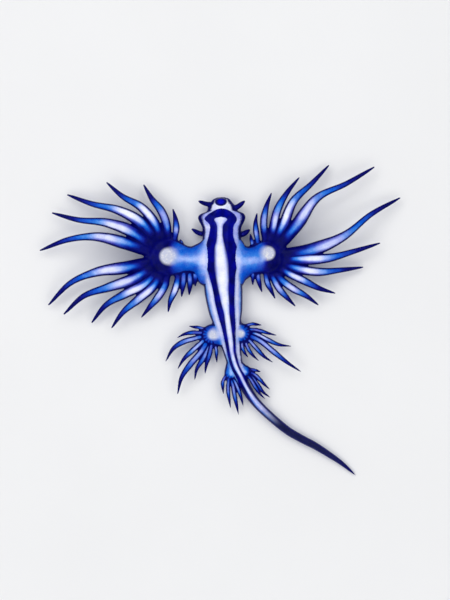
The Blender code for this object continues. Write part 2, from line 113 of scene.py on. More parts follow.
# Each fan: its palm, the arm that carries it, and its cerata in groups along the palm's rim.
# centre, radius, bearing: the palm's place and size, and the way it faces.
# tops, path, widths: the arm's heights at the trunk and at the palm, its midline, and its widths along it.
# plumpness: what the cerata's girths are multiplied by.
# disc: centre and radius of the pale disc, with no disc at radius 0.
# navy: how far from that centre a dark ring starts and ends, and its strength.
# groups: where along the rim the first and last ceras stand, then for each the bearing and reach of its tip
# from the palm's centre and its bow to the left at each quarter of the way, in hundredths of its length.
FRONT_LEFT = {
    "centre": (-6.25, 7.55), "radius": 2.3, "tops": (2.5, 2.1), "bearing": 180,
    "path": ((0.2, 6.9), (-1.9, 7.15), (-2.8, 7.25), (-3.8, 7.28), (-6.25, 7.55)),
    "widths": (
        (0.0, 6.0), (1.9, 5.9), (2.25, 5.6), (2.5, 5.0), (2.75, 4.25), (3.05, 3.7), (3.35, 3.3), (3.7, 3.1),
        (4.2, 3.2), (4.9, 3.7), (5.8, 4.3), (6.5, 4.4),
    ),
    "plumpness": 1.0, "disc": (-6.1, 7.62, 0.95), "navy": (0.1, 2.55, 1.0),
    "groups": (
        (5.3, 4.4, (56, 2.7, -5, -8, -4), (83, 5.7, -4, -8, -6)),
        (-4.9, -6.9, (271, 6.5, 5, 5, 0), (290, 5.0, 2, 3, 2), (300, 5.2, 2, 3, 2), (314, 4.8, 2, 2, 1)),
        (
            3.6, 0.6,
            (108, 9.0, -10, -11, -4), (129, 11.3, -10, -11, -3), (148, 13.9, -11, -11, -4),
            (159, 14.5, -8, -8, -2), (177, 15.0, -8, -13, -10),
        ),
        (
            -0.7, -3.65,
            (202, 15.1, -4, -10, -10), (209, 13.9, 2, -2, -6), (221, 11.8, 4, -1, -5), (232, 10.6, 5, 2, -2),
            (247, 7.7, 10, 10, 5),
        ),
    ),
}
FRONT_RIGHT = {
    "centre": (5.55, 7.55), "radius": 2.0, "tops": (2.5, 2.1), "bearing": 0,
    "path": ((0.2, 6.9), (2.5, 7.0), (3.5, 7.1), (5.55, 7.55)),
    "widths": (
        (0.0, 5.8), (2.3, 5.6), (2.65, 4.6), (3.1, 3.7), (3.5, 3.35), (4.0, 3.4), (5.0, 3.8), (5.5, 3.9),
    ),
    "plumpness": 0.94, "disc": (5.66, 7.98, 0.78), "navy": (0.1, 2.3, 1.0),
    "groups": (
        (4.85, 4.1, (126, 3.4, -3, -4, -2), (103, 5.3, 2, 5, 5)),
        (-4.1, -4.85, (262, 4.2, -5, -8, -5), (243, 3.7, 0, 0, 0)),
        (3.15, 1.4, (86, 7.6, 7, 10, 7), (68, 10.1, 6, 10, 7), (56, 13.1, 4, 9, 4), (40, 16.5, 4, 10, 4)),
        (
            0.3, -3.2,
            (24, 17.2, -7, -8, -2), (7, 13.4, -5, -7, -4), (354, 11.4, -7, -9, -5), (332, 9.1, -4, -4, -4),
            (317, 8.3, -8, -7, -2), (300, 6.7, -7, -9, -5), (281, 5.0, -9, -10, -5),
        ),
    ),
}
MIDDLE_LEFT = {
    "centre": (-0.95, -1.6), "radius": 1.25, "tops": (2.1, 1.8), "bearing": 205,
    "path": ((1.3, -1.4), (0.0, -1.6), (-0.95, -1.65)),
    "widths": ((0.0, 2.9), (1.3, 2.8), (2.2, 2.3)),
    "plumpness": 0.78, "disc": (-0.78, -1.58, 0.58), "navy": (1.0, 1.1, 0.12),
    "groups": (
        (
            1.6, -1.85,
            (160, 2.9, -6, -7, -3), (185, 4.1, -5, -9, -8), (210, 6.3, -7, -14, -13), (225, 5.7, -2, -4, -5),
            (240, 8.1, 0, -5, -7), (249, 5.7, 3, 1, -4), (260, 4.7, 3, 2, -1), (280, 3.4, 3, 5, 2),
        ),
    ),
}
MIDDLE_RIGHT = {
    "centre": (2.5, -1.4), "radius": 1.15, "tops": (2.1, 1.8), "bearing": 335,
    "path": ((1.1, -1.3), (1.8, -1.35), (2.5, -1.4)),
    "widths": ((0.0, 2.6), (0.8, 2.5), (1.5, 2.2)),
    "plumpness": 0.7, "disc": (2.42, -1.48, 0.44), "navy": (1.0, 1.1, 0.12),
    "groups": (
        (
            1.85, -1.25,
            (20, 2.6, 16, 18, 11), (356, 4.2, 8, 7, 3), (345, 6.1, 3, -1, -4), (327, 8.4, 4, 2, 0),
            (317, 5.1, -1, -3, -4), (302, 3.9, -4, -8, -6), (286, 3.0, -7, -11, -9),
        ),
    ),
}
REAR_LEFT = {
    "centre": (1.25, -6.15), "radius": 0.75, "tops": (1.55, 1.45), "bearing": 240,
    "path": ((1.9, -4.3), (1.4, -5.2), (1.2, -6.2)),
    "widths": ((0.0, 1.5), (1.0, 1.4), (2.0, 1.5)),
    "plumpness": 0.72, "disc": (1.3, -6.0, 0.0), "navy": (0.8, 0.9, 0.2),
    "groups": (
        (
            0.75, -0.75,
            (251, 2.6, -14, -16, -9), (270, 4.1, -4, -5, -3), (281, 5.0, 1, 0, 0), (291, 4.2, 3, 4, 3),
        ),
    ),
}
REAR_RIGHT = {
    "centre": (3.0, -5.9), "radius": 0.7, "tops": (1.55, 1.45), "bearing": 325,
    "path": ((2.1, -5.4), (2.6, -5.75), (3.0, -5.9)),
    "widths": ((0.0, 1.6), (0.6, 1.5), (1.0, 1.4)),
    "plumpness": 0.72, "disc": (3.0, -5.9, 0.0), "navy": (0.7, 0.9, 0.35),
    "groups": (
        (0.7, -0.65, (357, 1.8, 10, 9, 4), (323, 3.6, 8, 6, 2), (313, 4.3, 2, -1, -4), (305, 4.0, 1, -1, -3)),
    ),
}
FANS = (FRONT_LEFT, FRONT_RIGHT, MIDDLE_LEFT, MIDDLE_RIGHT, REAR_LEFT, REAR_RIGHT)
# Each palm has a low boss on top, over this share of its radius.
PEARL = 0.5
PEARL_FADE = 0.15
PEARL_RISE = 0.12
PALM_BOTTOM = -0.25
ARM_BOTTOM = 0.1

# The dark markings on the foot side, by the distance from the snout. Each row has the left and right limits
# of the dark field, those of the pale stripe inside it, all as offsets to the right of the midline, and how
# soft the stripe's edge is. There is no field or stripe where a left limit lies past the right one.
MARKINGS = (
    (1.28, 0.5, -0.54, 0.4, -0.6, 0.12), (1.42, -0.5, 0.44, 0.4, -0.6, 0.12),
    (1.55, -0.82, 0.74, 0.4, -0.6, 0.12), (1.75, -1.2, 1.1, 0.4, -0.6, 0.12),
    (2.0, -1.6, 1.42, 0.3, -0.5, 0.12), (2.2, -1.82, 1.62, 0.2, -0.4, 0.12),
    (2.36, -1.95, 1.72, -0.08, -0.12, 0.12), (2.42, -1.99, 1.76, -0.5, 0.3, 0.12),
    (2.52, -2.03, 1.78, -0.76, 0.54, 0.12), (2.65, -2.01, 1.78, -0.86, 0.62, 0.14),
    (2.85, -1.85, 1.74, -0.78, 0.5, 0.15), (3.05, -1.62, 1.62, -0.66, 0.32, 0.16),
    (3.3, -1.43, 1.46, -0.56, 0.14, 0.16), (3.6, -1.38, 1.38, -0.5, 0.08, 0.16),
    (4.4, -1.49, 1.36, -0.5, 0.07, 0.16), (5.2, -1.7, 1.55, -0.56, 0.18, 0.2),
    (6.0, -1.85, 1.84, -0.72, 0.34, 0.32), (7.0, -1.86, 1.9, -0.72, 0.54, 0.42),
    (8.0, -1.82, 1.8, -0.73, 0.65, 0.42), (9.5, -1.5, 1.52, -0.66, 0.66, 0.32),
    (11.0, -1.24, 1.35, -0.52, 0.54, 0.22), (12.5, -1.12, 1.17, -0.36, 0.49, 0.17),
    (14.0, -0.92, 1.06, -0.18, 0.38, 0.15), (15.5, -0.72, 0.92, -0.2, 0.37, 0.14),
    (17.0, -0.66, 0.66, -0.22, 0.29, 0.13), (18.5, -0.65, 0.44, -0.28, 0.12, 0.12),
    (20.0, -0.6, 0.44, -0.24, 0.18, 0.12), (21.5, -0.47, 0.62, -0.05, 0.29, 0.12),
    (23.0, -0.7, 0.75, -0.09, 0.27, 0.13), (24.5, -0.75, 0.8, -0.22, 0.29, 0.14),
    (26.0, -0.75, 0.8, -0.31, 0.31, 0.16), (29.0, -0.8, 0.8, -0.28, 0.26, 0.22),
    (40.0, -0.8, 0.8, -0.2, 0.2, 0.22),
)

# Width of the dark edge: of the body by the distance from the snout, of arms and palms, and of a ceras or
# feeler, where it grows with the half width there.
EDGE_WIDTHS = (
    (0.0, 0.22), (0.8, 0.42), (1.8, 0.42), (2.6, 0.46), (3.3, 0.32), (4.5, 0.28), (6.0, 0.19), (14.0, 0.18),
    (18.0, 0.16), (24.0, 0.18), (40.0, 0.18),
)
ARM_EDGE = 0.18
FINGER_EDGE = 0.09
FINGER_EDGE_GROWTH = 0.13

# How finely the forms are built and joined.
VOXEL = 0.07
BODY_STEP = 0.16
FINE_SIDES = 64
CERAS_SIDES = 20
CERAS_RINGS = 60
FAR = 9.0  # a distance or ratio where nothing is near


class Line:
    """A smooth curve through points, read by the distance along it."""

    def __init__(self, points, steps=16):
        points = np.array(points, float)
        before, after = 2 * points[0] - points[1], 2 * points[-1] - points[-2]
        p = np.vstack([before, points, after])
        t = np.linspace(0, 1, steps, endpoint=False)[:, None]
        pieces = []
        for a, b, c, d in zip(p, p[1:], p[2:], p[3:]):
            bend = (2 * a - 5 * b + 4 * c - d) * t**2 + (3 * b - a - 3 * c + d) * t**3
            pieces.append(b + 0.5 * ((c - a) * t + bend))
        self.points = np.vstack([*pieces, points[-1:]])
        lengths = np.linalg.norm(np.diff(self.points, axis=0), axis=1)
        self.along = np.concatenate([[0], np.cumsum(lengths)])
        self.length = self.along[-1]

    def at(self, distance):
        """The point at this distance along the line."""
        return np.array([np.interp(distance, self.along, column) for column in self.points.T])

    def direction(self, distance):
        """The way the line runs at this distance."""
        step = self.length / 200
        ahead = self.at(min(distance + step, self.length)) - self.at(max(distance - step, 0))
        return ahead / np.linalg.norm(ahead)

    def locate(self, places):
        """Seen from above: how far along the line each place is, its signed offset, and its distance.

        The offset is positive on the left of someone who goes along the line.
        """
        flat = self.points[:, :2]
        size = (flat**2).sum(axis=1)
        parts = np.array_split(places, len(places) // 20000 + 1)
        nearest = np.concatenate([np.argmin(size - 2 * part @ flat.T, axis=1) for part in parts])
        distance = np.full(len(places), np.inf)
        found = np.zeros(len(places))
        turn = np.zeros(len(places))
        for before in (1, 0):
            i = np.clip(nearest - before, 0, len(flat) - 2)
            run = flat[i + 1] - flat[i]
            away = places - flat[i]
            share = np.clip((away * run).sum(axis=1) / (run * run).sum(axis=1), 0, 1)
            away -= share[:, None] * run
            gap = np.hypot(away[:, 0], away[:, 1])
            nearer = gap < distance
            distance = np.where(nearer, gap, distance)
            found = np.where(nearer, self.along[i] + share * (self.along[i + 1] - self.along[i]), found)
            turn = np.where(nearer, run[:, 0] * away[:, 1] - run[:, 1] * away[:, 0], turn)
        return found, np.copysign(distance, turn), distance


def eased(rows, position):
    """A monotone cubic through the rows, so that a width never swings past its stated sizes."""
    x, y = rows[:, 0], rows[:, 1:]
    position = float(np.clip(position, x[0], x[-1]))
    i = int(np.clip(np.searchsorted(x, position, side="right") - 1, 0, len(x) - 2))
    slopes = np.diff(y, axis=0) / np.diff(x)[:, None]

    def slope_at(k):
        if k in (0, len(x) - 1):
            return slopes[min(k, len(slopes) - 1)]
        a, b = slopes[k - 1], slopes[k]
        return np.where(a * b > 0, 2 * a * b / np.where(a + b == 0, 1, a + b), 0)

    h = x[i + 1] - x[i]
    t = (position - x[i]) / h
    start, end = y[i], y[i + 1]
    leave, arrive = slope_at(i) * h, slope_at(i + 1) * h
    return (
        (2 * t**3 - 3 * t**2 + 1) * start
        + (t**3 - 2 * t**2 + t) * leave
        + (3 * t**2 - 2 * t**3) * end
        + (t**3 - t**2) * arrive
    )


def table(rows, positions, steps=600):
    """The eased rows read at many positions at once, one column for each value."""
    rows = np.array(rows, float)
    grid = np.linspace(rows[0, 0], rows[-1, 0], steps)
    values = np.array([eased(rows, place) for place in grid])
    return [np.interp(positions, grid, column) for column in values.T]


def smooth(value, start, end):
    """0 before start, 1 past end, and an even curve between them."""
    t = np.clip((value - start) / (end - start), 0, 1)
    return t * t * (3 - 2 * t)


def heading(degrees):
    """The level direction with this bearing."""
    return np.array([math.cos(math.radians(degrees)), math.sin(math.radians(degrees))])


SPINE_LINE = Line(SPINE)


class Shell:
    """Closed forms gathered as one list of points and faces."""

    def __init__(self):
        self.points = []
        self.faces = []

    def loft(self, rings, tip=None):
        """A closed form through rings of points, with flat ends, or with a pointed end at tip."""
        start, sides = len(self.points), len(rings[0])
        for ring in rings:
            self.points.extend(tuple(point) for point in ring)
        for r in range(len(rings) - 1):
            for i in range(sides):
                a, b = start + r * sides + i, start + r * sides + (i + 1) % sides
                self.faces.append((a, b, b + sides, a + sides))
        self.faces.append(tuple(range(start + sides - 1, start - 1, -1)))
        last = start + (len(rings) - 1) * sides
        if tip is None:
            self.faces.append(tuple(range(last, last + sides)))
        else:
            self.points.append(tuple(tip))
            for i in range(sides):
                self.faces.append((last + i, last + (i + 1) % sides, len(self.points) - 1))


def oval(centre, side, half_width, half_height, sides):
    """A ring of points upright across a line: side is its level cross direction."""
    turn = 2 * np.pi * (np.arange(sides) + 0.5) / sides
    ring = np.empty((sides, 3))
    ring[:, 0] = centre[0] + side[0] * half_width * np.cos(turn)
    ring[:, 1] = centre[1] + side[1] * half_width * np.cos(turn)
    ring[:, 2] = centre[2] + half_height * np.sin(turn)
    return ring


def level_ring(centre, half_x, half_y, height, sides):
    """A level ring of points around a centre."""
    turn = np.linspace(0, 2 * np.pi, sides, endpoint=False)
    x, y = centre[0] + half_x * np.cos(turn), centre[1] + half_y * np.sin(turn)
    return np.stack([x, y, np.full(sides, height)], axis=1)


def body_ring(distance):
    """The body's outline across its midline, with the sole raised and the lower side pressed flat."""
    half_width, top, bottom = eased(np.array(BODY), distance)
    x, y = SPINE_LINE.at(distance)
    along = SPINE_LINE.direction(distance)
    ring = oval((x, y, (top + bottom) / 2), (-along[1], along[0]), half_width, (top - bottom) / 2, FINE_SIDES)
    across = np.cos(2 * np.pi * (np.arange(FINE_SIDES) + 0.5) / FINE_SIDES)
    upper = ring[:, 2] > (top + bottom) / 2
    sole = smooth(SOLE_SHARE + SOLE_FADE - np.abs(across), 0, 2 * SOLE_FADE)
    ring[:, 2] += np.where(upper, sole * SOLE_RISE * min(1.0, half_width), 0)
    ring[:, 2] = np.maximum(ring[:, 2], 0)
    return ring


def add_body(shell):
    """The body from the snout to the pointed end of the tail."""
    places = np.arange(0, BODY[-1][0], BODY_STEP)
    shell.loft([body_ring(place) for place in places], (*SPINE_LINE.at(SPINE_LINE.length), TAIL_TIP_HEIGHT))


def add_ball(shell, centre, half_sizes, sides=32, rings=16):
    """A ball stretched to the half sizes."""
    half_x, half_y, half_z = half_sizes
    made = []
    for lift in np.linspace(-np.pi / 2, np.pi / 2, rings + 1)[1:-1]:
        reach, height = math.cos(lift), centre[2] + half_z * math.sin(lift)
        made.append(level_ring(centre, half_x * reach, half_y * reach, height, sides))
    shell.loft(made)


class Finger:
    """A tapered finger along a line in space, such as a ceras or a feeler."""

    def __init__(self, line, girth, taper, thickness):
        self.line, self.girth, self.taper, self.thickness = line, girth, taper, thickness

    def half_at(self, place):
        """Half the width at shares of the length."""
        return self.girth * table(self.taper, place, 120)[0] / 2

    def add_to(self, shell):
        rings = []
        line = self.line
        for place in np.linspace(0, 1, CERAS_RINGS):
            centre, along = line.at(place * line.length), line.direction(place * line.length)
            side = np.array([-along[1], along[0]]) / np.hypot(along[0], along[1])
            half = self.girth * eased(np.array(self.taper), place)[0] / 2
            rings.append(oval(centre, side, half, half * self.thickness, CERAS_SIDES))
        end = line.at(line.length) + line.direction(line.length) * self.girth * self.taper[-1][1] * 0.6
        shell.loft(rings, end)


def rim_at(fan, place):
    """The point on a palm's rim and the way it faces. Past a half circle the rim runs back along the arm."""
    radius, outward = fan["radius"], heading(fan["bearing"])
    forward = heading(fan["bearing"] + (-90 if outward[0] < 0 else 90))
    quarter = radius * math.pi / 2
    turn = max(-quarter, min(quarter, place)) / radius
    facing = math.cos(turn) * outward + math.sin(turn) * forward
    inboard = max(0.0, abs(place) - quarter)
    radius -= RIM_NARROWING * min(1.0, inboard)
    return np.array(fan["centre"]) + radius * facing - inboard * outward, facing


def ceras(fan, place, size, number):
    """One ceras from the palm's rim to its tip, bowed level and arched up."""
    bearing, reach, *bows = size
    rim, facing = rim_at(fan, place)
    root = rim - facing * min(ROOT_DEPTH, ROOT_DEPTH_SHARE * fan["radius"])
    tip = np.array(fan["centre"]) + reach * heading(bearing)
    chord = tip - root
    left = np.array((-chord[1], chord[0]))
    rise = RISE_PER_REACH * reach
    tip_height = TIP_HEIGHTS[number % len(TIP_HEIGHTS)]
    points = []
    for share, bow in zip((0, 0.25, 0.5, 0.75, 1), (0, *bows, 0)):
        height = RIM_HEIGHT + (tip_height - RIM_HEIGHT) * share + rise * math.sin(math.pi * share) ** 1.5
        points.append((*(root + share * chord + bow / 100 * left), height))
    girth = max(THINNEST, (GIRTH_LEAST + GIRTH_PER_REACH * reach) * fan["plumpness"])
    whip = min(1.0, max(0.0, (reach - SHORT) / (LONG - SHORT)))
    taper = (1 - whip) * np.array(SHORT_TAPER) + whip * np.array(LONG_TAPER)
    return Finger(Line(points), girth, taper, CERAS_THICKNESS)


def cerata(fan):
    """All the cerata of a fan. Each group numbers its own, as the tips' heights follow the numbers."""
    made = []
    for first, last, *sizes in fan["groups"]:
        for number, size in enumerate(sizes):
            place = np.linspace(first, last, len(sizes))[number]
            made.append(ceras(fan, place, size, number))
    return made


def bowed_line(root, tip, bow):
    """A line from root to tip, bowed sideways by a share of its length."""
    root, tip = np.array(root, float), np.array(tip, float)
    across = np.array([-(tip - root)[1], (tip - root)[0], 0])
    return Line((root, (root + tip) / 2 + across * bow, tip))


def add_palm(shell, fan, rings=24):
    """The round pad that carries a fan, with a low boss on top and a flat below."""
    radius, top = fan["radius"], fan["tops"][1]
    made = []
    for lift in np.linspace(-np.pi / 2, np.pi / 2, rings + 1)[1:-1]:
        reach, up = math.cos(lift), math.sin(lift)
        height = RIM_HEIGHT + up * (top - RIM_HEIGHT if up > 0 else RIM_HEIGHT - PALM_BOTTOM)
        if up > 0:
            height += PEARL_RISE * min(1.0, max(0.0, (PEARL + PEARL_FADE - reach) / (2 * PEARL_FADE)))
        made.append(level_ring(fan["centre"], radius * reach, radius * reach, max(height, 0), FINE_SIDES))
    shell.loft(made)


def add_arm(shell, fan, rings=40):
    """The arm from inside the body to the palm's centre."""
    line = Line(fan["path"])
    at_trunk, at_palm = fan["tops"]
    made = []
    for place in np.linspace(0, 1, rings):
        centre, along = line.at(place * line.length), line.direction(place * line.length)
        width = eased(np.array(fan["widths"]), place * line.length)[0]
        top = at_trunk + (at_palm - at_trunk) * place
        middle = (*centre, (top + ARM_BOTTOM) / 2)
        made.append(oval(middle, (-along[1], along[0]), width / 2, (top - ARM_BOTTOM) / 2, FINE_SIDES))
    shell.loft(made)


def placed(name, data):
    """A new object in the scene."""
    obj = bpy.data.objects.new(name, data)
    bpy.context.scene.collection.objects.link(obj)
    return obj


def joined(shell):
    """The outer surface of all the forms of a shell, as points and four-sided faces."""
    mesh = bpy.data.meshes.new("forms")
    mesh.from_pydata(shell.points, [], shell.faces)
    obj = placed("forms", mesh)
    change = obj.modifiers.new("joined", "REMESH")
    change.mode = "VOXEL"
    change.voxel_size = VOXEL
    bpy.context.view_layer.update()
    made = obj.evaluated_get(bpy.context.evaluated_depsgraph_get()).to_mesh()
    points = np.empty(len(made.vertices) * 3)
    made.vertices.foreach_get("co", points)
    corners = np.empty(len(made.loops), int)
    made.loops.foreach_get("vertex_index", corners)
    bpy.data.objects.remove(obj)
    bpy.data.meshes.remove(mesh)
    return points.reshape(-1, 3), corners.reshape(-1, 4)


class Surface:
    """Points and four-sided faces, with what smoothing needs."""

    def __init__(self, points, faces):
        self.points, self.faces = points, faces
        ends = np.concatenate([faces[:, [i, (i + 1) % 4]] for i in range(4)])
        self.ends = np.unique(np.sort(ends, axis=1), axis=0)
        self.count = np.bincount(self.ends.ravel(), minlength=len(points)).astype(float)

    def around(self, values):
        """The mean of each point's neighbours."""
        a, b = self.ends.T
        total = np.empty_like(values)
        for k in range(values.shape[1]):
            column = values[:, k]
            total[:, k] = np.bincount(a, column[b], len(values)) + np.bincount(b, column[a], len(values))
        return total / self.count[:, None]

    def normals(self):
        """The way the surface faces at each point."""
        p = self.points[self.faces]
        across = np.cross(p[:, 2] - p[:, 0], p[:, 3] - p[:, 1])
        total = np.empty_like(self.points)
        for k in range(3):
            weights = np.repeat(across[:, k], 4)
            total[:, k] = np.bincount(self.faces.ravel(), weights, len(self.points))
        return total / np.maximum(np.linalg.norm(total, axis=1), 1e-12)[:, None]

    def relax(self, rounds, amount=0.5, regain=1.04):
        """Evens out the surface and gives back the size that this takes away."""
        for _ in range(rounds):
            self.points = self.points + amount * (self.around(self.points) - self.points)
            self.points = self.points - regain * amount * (self.around(self.points) - self.points)

    def fill_clefts(self, rounds, share):
        """Raises the points of hollow places only, which rounds each cleft and leaves the rest alone.

        Share says for each point how much of the hollow is filled in a round.
        """
        for _ in range(rounds):
            normals = self.normals()
            hollow = np.einsum("ij,ij->i", self.around(self.points) - self.points, normals)
            self.points = self.points + normals * (np.maximum(hollow, 0) * share)[:, None]

    def web(self, rounds, evenings):
        """Fills the clefts beside the palms, so that cerata rise from webbed roots, and evens them out."""
        near = np.zeros(len(self.points))
        for fan in FANS:
            away = np.hypot(*(self.points[:, :2] - fan["centre"]).T) - fan["radius"]
            near = np.maximum(near, 1 - smooth(away, 0.3, 1.1 * fan["plumpness"]))
        kept = np.flatnonzero(near > 0)
        number = np.full(len(self.points), -1)
        number[kept] = np.arange(len(kept))
        faces = number[self.faces]
        patch = Surface(self.points[kept], faces[(faces >= 0).all(axis=1)])
        patch.count = np.maximum(patch.count, 1)
        inner = smooth(near[kept], 0.0, 0.5)
        patch.fill_clefts(rounds, inner)
        for _ in range(evenings):
            patch.points += (patch.around(patch.points) - patch.points) * (0.5 * inner)[:, None]
        self.points[kept] = patch.points


class Fields:
    """Where each point of the skin lies on the animal.

    A ratio is 0 on the axis of a form and 1 on its surface. Fingers are the cerata and the feelers.
    """

    def __init__(self, points, fingers, feelers):
        self.points = points
        self.find_base(points[:, :2], points[:, 2])
        self.find_fingers(points[:, :2], points[:, 2], fingers + feelers)
        self.is_feeler = self.finger >= len(fingers)
        # 1 on a finger, 0 on the body, arms and palms, with an even passage at a root.
        self.on_finger = smooth(self.base_ratio - self.own_ratio, -0.15, 0.25)

    def find_base(self, flat, z):
        """Places on the body, the arms and the palms, and how far inside their outline each point lies."""
        self.from_snout, self.offset, away = SPINE_LINE.locate(flat)
        half, top, bottom = table(BODY, self.from_snout)
        self.body_ratio = np.hypot(away / half, (z - (top + bottom) / 2) / ((top - bottom) / 2))
        rims = [np.minimum(half - away, self.from_snout + 0.04)]
        ratios = [self.body_ratio]
        self.arms = []
        for fan in FANS:
            line = Line(fan["path"])
            along, offset, away = line.locate(flat)
            width = table(fan["widths"], along)[0] / 2
            at_trunk, at_palm = fan["tops"]
            top = at_trunk + (at_palm - at_trunk) * along / line.length
            arm_ratio = np.hypot(away / width, (z - (top + ARM_BOTTOM) / 2) / ((top - ARM_BOTTOM) / 2))
            x, y = fan["centre"]
            radial = np.hypot(flat[:, 0] - x, flat[:, 1] - y)
            depth = np.where(z > RIM_HEIGHT, at_palm - RIM_HEIGHT, RIM_HEIGHT - PALM_BOTTOM)
            palm_ratio = np.hypot(radial / fan["radius"], (z - RIM_HEIGHT) / depth)
            rims += [width - away, fan["radius"] - radial]
            ratios.append(np.minimum(arm_ratio, palm_ratio))
            self.arms.append({"share": along / line.length, "across": offset / width, "ratio": ratios[-1]})
        self.base_ratio = np.min(ratios, axis=0)
        self.base_rim = np.max(rims, axis=0)

    def find_fingers(self, flat, z, fingers):
        """Places on each point's own finger, which is the one with the least ratio."""
        count = len(flat)
        self.own_ratio = np.full(count, FAR)
        self.next_ratio = np.full(count, FAR)
        self.share = np.zeros(count)
        self.across = np.zeros(count)
        self.half = np.ones(count)
        self.length = np.ones(count)
        self.finger = np.full(count, -1)
        for number, finger in enumerate(fingers):
            low = finger.line.points.min(axis=0)[:2] - 1.5
            high = finger.line.points.max(axis=0)[:2] + 1.5
            near = np.flatnonzero(((flat > low) & (flat < high)).all(axis=1))
            along, offset, away = finger.line.locate(flat[near])
            half = finger.half_at(along / finger.line.length)
            height = np.interp(along, finger.line.along, finger.line.points[:, 2])
            ratio = np.hypot(away / half, (z[near] - height) / (half * finger.thickness))
            second = np.minimum(self.next_ratio[near], np.maximum(ratio, self.own_ratio[near]))
            better = ratio < self.own_ratio[near]
            self.next_ratio[near] = second
            won = near[better]
            self.own_ratio[won] = ratio[better]
            self.share[won] = (along / finger.line.length)[better]
            self.across[won] = (offset / half)[better]
            self.half[won] = half[better]
            self.length[won] = finger.line.length
            self.finger[won] = number


# The front fans end ahead of this place, seen from above, and the middle and rear ones are behind it.
FRONT_END = 0.0
# Looks are a lightness, from ink at 0 to white at 1, and a hue, from lilac at 0 to azure at 1.
SEED = 7
RAY_DEPTH = 0.32
FEELER_LIGHT = 0.06
NAVY_LIGHT, NAVY_HUE = 0.05, 0.4

# Lightness and hue along the middle of a ceras by the share of its length: for long, middling and short ones
# of the front fans, and for those of the middle and rear fans.
LONG_LOOKS = (
    (0.0, 0.02, 0.4), (0.1, 0.06, 0.6), (0.15, 0.26, 0.9), (0.2, 0.5, 1.0), (0.25, 0.68, 0.9),
    (0.3, 0.82, 0.5), (0.36, 0.93, 0.2), (0.42, 0.92, 0.1), (0.47, 0.84, 0.3), (0.52, 0.7, 0.7),
    (0.57, 0.56, 0.9), (0.63, 0.46, 1.0), (0.69, 0.37, 0.9), (0.75, 0.26, 0.8), (0.8, 0.15, 0.6),
    (0.85, 0.08, 0.4), (1.0, 0.05, 0.2),
)
MIDDLING_LOOKS = (
    (0.0, 0.04, 0.4), (0.15, 0.12, 0.7), (0.2, 0.24, 0.9), (0.25, 0.42, 1.0), (0.32, 0.56, 0.9),
    (0.38, 0.68, 0.6), (0.46, 0.76, 0.3), (0.54, 0.68, 0.4), (0.6, 0.56, 0.7), (0.66, 0.44, 0.9),
    (0.72, 0.28, 0.7), (0.78, 0.14, 0.5), (0.85, 0.06, 0.2), (1.0, 0.05, 0.2),
)
REAR_LOOKS = (
    (0.0, 0.28, 0.9), (0.1, 0.36, 0.9), (0.18, 0.46, 0.8), (0.25, 0.54, 0.5), (0.32, 0.57, 0.3),
    (0.42, 0.58, 0.3), (0.5, 0.53, 0.5), (0.58, 0.44, 0.8), (0.65, 0.33, 0.8), (0.72, 0.21, 0.7),
    (0.8, 0.09, 0.4), (0.9, 0.04, 0.2), (1.0, 0.04, 0.2),
)
SHORT_LOOKS = (
    (0.0, 0.4, 1.0), (0.15, 0.34, 1.0), (0.25, 0.38, 1.0), (0.36, 0.48, 0.7), (0.48, 0.56, 0.4),
    (0.58, 0.45, 0.6), (0.68, 0.24, 0.6), (0.78, 0.11, 0.3), (0.88, 0.05, 0.2), (1.0, 0.05, 0.2),
)


def cerata_looks(f, rng):
    """Lightness and hue of the cerata: navy at the root, a pale streak, azure, and a navy tip.

    Those of the middle and rear fans have looks of their own, with azure roots.
    """
    # Each ceras has a streak of its own strength and place. The last entry is for points on none.
    count = f.finger.max() + 2
    vivid = rng.uniform(0.86, 1.14, count)[f.finger]
    lean = rng.uniform(-0.20, 0.20, count)[f.finger]
    shift = rng.uniform(-0.04, 0.05, count)[f.finger]
    place = np.clip(f.share + shift * smooth(f.share, 0.0, 0.3), 0, 1)
    rear = (f.points[:, 1] < FRONT_END).astype(float)
    # The four sets of rows are blended by the length of the ceras and by its fan.
    long, short = smooth(f.length, 7.0, 10.0), 1 - smooth(f.length, 3.6, 5.6)
    weights = [(1 - rear) * share for share in (long, 1 - long - short, short)]
    light = np.zeros(len(place))
    hue = np.zeros(len(place))
    for weight, rows in zip([*weights, rear], (LONG_LOOKS, MIDDLING_LOOKS, SHORT_LOOKS, REAR_LOOKS)):
        row_light, row_hue = table(rows, place)
        light += weight * row_light
        hue += weight * row_hue
    streak = smooth(light, 0.50, 0.72)
    past_root = rear * smooth(f.share, 0.12, 0.30)
    light *= 1 + (vivid - 1) * np.maximum(streak, 1.2 * past_root)
    light += 0.14 * past_root * smooth(f.length, 4.0, 6.5) * (1 - smooth(f.share, 0.42, 0.60))
    # The flanks are darker and more lilac than the streak between them.
    across = np.abs(np.clip(f.across - lean, -1, 1))
    rooted = (1 - smooth(f.share, 0.18, 0.42)) * (1 - 0.85 * rear)
    flank = smooth(across, 0.20 - 0.12 * rooted, 0.85 - 0.20 * rooted)
    flank_light = np.minimum(light, 0.36 + 0.14 * streak - 0.26 * rooted)
    return light + (flank_light - light) * flank, np.clip(hue - 0.35 * streak * flank, 0, 1)


def arm_looks(arm, side):
    """Lightness and hue of an arm: a pale band along the middle, vivid azure beside it, and a pale root.

    Side is 1 for an arm on the frame's left, whose own left side faces the tail, and -1 for one on the right.
    """
    across = arm["across"] * side
    middle = 0.10 * smooth(arm["share"], 0.6, 0.95)
    band = np.exp(-(((across - middle) / 0.34) ** 2))
    light = 0.40 + 0.33 * band - 0.10 * smooth(np.abs(across), 0.62, 0.95) + 0.04 * smooth(-across, 0.0, 0.6)
    root = 1 - smooth(arm["share"], 0.30, 0.48)
    light += root * (0.08 + 0.16 * smooth(np.abs(across), 0.95, 0.3))
    hue = 1.0 - 0.30 * band - 0.35 * root
    return light, hue


